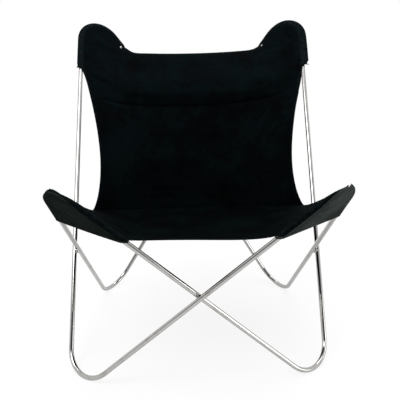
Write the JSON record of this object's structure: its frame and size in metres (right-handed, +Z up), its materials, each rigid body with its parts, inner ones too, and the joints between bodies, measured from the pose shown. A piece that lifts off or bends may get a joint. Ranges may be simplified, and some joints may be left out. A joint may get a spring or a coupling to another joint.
{
  "type": "butterfly sling chair",
  "caption": "Low lounge chair: a canvas sling hangs by its corner pockets from welded loops of bent round bar",
  "frame": {"origin": "On the floor, under the middle of the chair's outline", "axes": "+X to the right as seen from the front, +Y to the back, +Z up"},
  "size_m": [0.7156, 0.8516, 0.8598],
  "materials": {
    "chrome": "bright chrome plating on steel bar",
    "canvas": "matte black cotton canvas",
    "rivet": "satin nickel"
  },
  "bodies": {
    "root": {"frame_loop_a": "chrome", "frame_loop_b": "chrome", "weld_front": "chrome", "weld_rear": "chrome", "weld_left": "chrome", "weld_right": "chrome", "seat_panel": "canvas", "back_panel": "canvas", "cross_seam": "canvas", "front_hem": "canvas", "top_hem": "canvas", "side_binding_left": "canvas", "side_binding_right": "canvas", "front_pocket_left": "canvas", "front_pocket_right": "canvas", "rear_pocket_left": "canvas", "rear_pocket_right": "canvas", "front_mouth_hem_left": "canvas", "front_mouth_hem_right": "canvas", "rear_mouth_hem_left": "canvas", "rear_mouth_hem_right": "canvas", "rivet_left": "rivet", "rivet_right": "rivet"}
  },
  "joints": []
}
